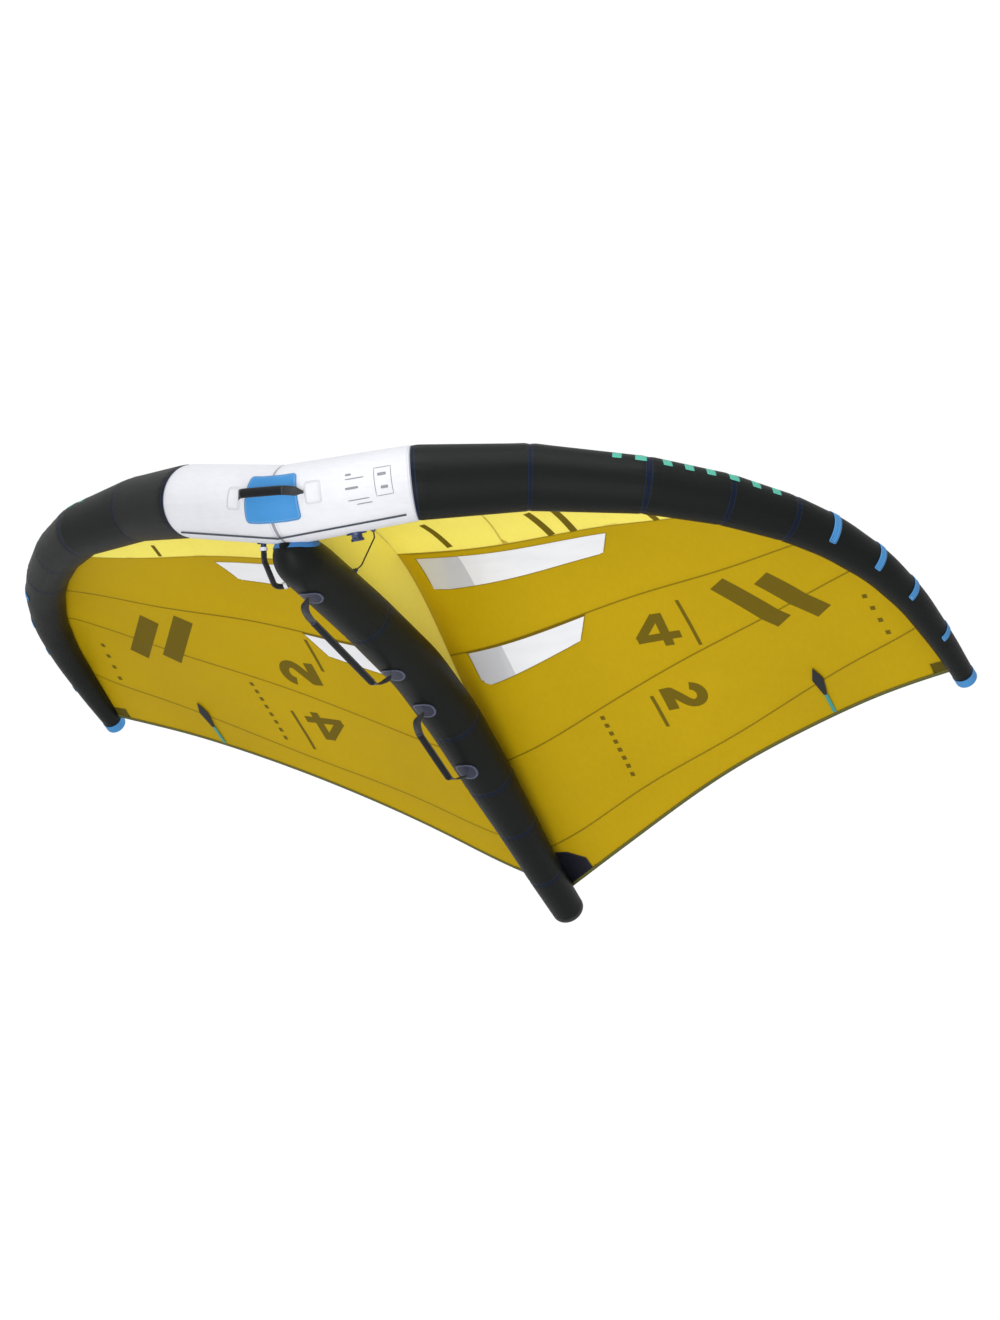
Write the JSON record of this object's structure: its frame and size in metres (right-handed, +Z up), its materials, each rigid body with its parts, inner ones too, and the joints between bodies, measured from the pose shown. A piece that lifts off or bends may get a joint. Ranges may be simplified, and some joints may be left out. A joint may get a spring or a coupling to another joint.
{
  "type": "inflatable hand-held wing kite",
  "caption": "Delta-shaped kite held by hand: inflated leading edge and central strut carrying a cambered fabric canopy with clear windows, with grab handles and an inflation valve.",
  "frame": {"origin": "seat of the front handle, on the nose of the leading edge at mid-span", "axes": "+X towards the right-hand wing tip, +Y aft along the strut, +Z up towards the canopy, with the wing in its flying attitude"},
  "size_m": [2.9152, 2.1761, 0.5773],
  "materials": {
    "white_cloth": "coated woven polyester",
    "black_tube_cloth": "coated woven polyester, slight sheen",
    "bladder_film": "clear polyurethane film",
    "blue_cloth": "coated woven polyester",
    "bright_yellow_cloth": "ripstop polyester",
    "yellow_cloth": "ripstop polyester",
    "window_film": "clear window film",
    "hem_tape": "folded woven tape",
    "black_patch": "coated woven polyester",
    "batten_rod": "pultruded rod",
    "piping": "woven cord",
    "white_patch": "stitched reinforcement",
    "strut_patch": "stitched reinforcement",
    "grip_foam": "moulded foam",
    "webbing": "woven webbing",
    "navy_plastic": "moulded plastic",
    "steel_pin": "stainless steel",
    "hose_rubber": "reinforced hose",
    "white_plastic": "moulded plastic",
    "cord": "braided cord"
  },
  "bodies": {
    "wing": {"batten_left": "batten_rod", "batten_pocket_left": "black_patch", "batten_pocket_right": "black_patch", "batten_right": "batten_rod", "canopy_front_band_left": "bright_yellow_cloth", "canopy_front_band_right": "bright_yellow_cloth", "canopy_panel_1_left": "yellow_cloth", "canopy_panel_1_right": "yellow_cloth", "canopy_panel_2_left": "yellow_cloth", "canopy_panel_2_right": "yellow_cloth", "canopy_panel_3_left": "yellow_cloth", "canopy_panel_3_right": "yellow_cloth", "canopy_panel_4_left": "yellow_cloth", "canopy_panel_4_right": "yellow_cloth", "edge_bands_left": "blue_cloth", "edge_bands_right": "blue_cloth", "edge_bladder": "bladder_film", "edge_casing_centre": "white_cloth", "edge_casing_left": "black_tube_cloth", "edge_casing_right": "black_tube_cloth", "front_grip_anchors": "strut_patch", "front_handle_anchors": "white_patch", "front_handle_pad": "blue_cloth", "hem_tape_left": "hem_tape", "hem_tape_right": "hem_tape", "hose_clamps": "white_plastic", "hose_stubs": "navy_plastic", "rear_grip_anchors": "strut_patch", "seam_piping": "piping", "strut_bladder": "bladder_film", "strut_casing": "black_tube_cloth", "strut_cuff": "blue_cloth", "strut_tail_cap": "black_tube_cloth", "strut_web": "bright_yellow_cloth", "tail_patch_left": "black_patch", "tail_patch_right": "black_patch", "tether_clip": "white_plastic", "tether_tab": "navy_plastic", "tip_cap_left": "blue_cloth", "tip_cap_right": "blue_cloth", "tip_patch_left": "black_patch", "tip_patch_right": "black_patch", "transfer_hose": "hose_rubber", "valve_base": "navy_plastic", "valve_pin": "steel_pin", "valve_tether": "cord", "window_front_left": "window_film", "window_front_right": "window_film", "window_rear_left": "window_film", "window_rear_right": "window_film"},
    "front_handle": {"front_handle_strap": "webbing", "front_handle_sleeve": "grip_foam"},
    "front_grip": {"front_grip_strap": "webbing", "front_grip_sleeve": "grip_foam"},
    "rear_grip": {"rear_grip_strap": "webbing", "rear_grip_sleeve": "grip_foam"},
    "cap": {"valve_cap": "navy_plastic"}
  },
  "joints": [
    {"name": "front_handle_swing", "type": "hinge", "parent": "wing", "child": "front_handle", "pos_m": [0, 0.00613, 0.01851], "axis": [1, 0, 0], "range_deg": [-35, 35], "stiffness_Nm_per_rad": 0.6},
    {"name": "front_grip_swing", "type": "hinge", "parent": "wing", "child": "front_grip", "pos_m": [0, 0.55775, -0.06453], "axis": [0, 0.9861, 0.1663], "range_deg": [-75, 75]},
    {"name": "rear_grip_swing", "type": "hinge", "parent": "wing", "child": "rear_grip", "pos_m": [0, 1.18104, -0.00812], "axis": [0, 0.9996, -0.0279], "range_deg": [-75, 75]},
    {"name": "cap_hinge", "type": "hinge", "parent": "wing", "child": "cap", "pos_m": [0.18322, 0.18332, -0.01487], "axis": [-0.9705, -0.1177, -0.2106], "range_deg": [0, 100]}
  ]
}
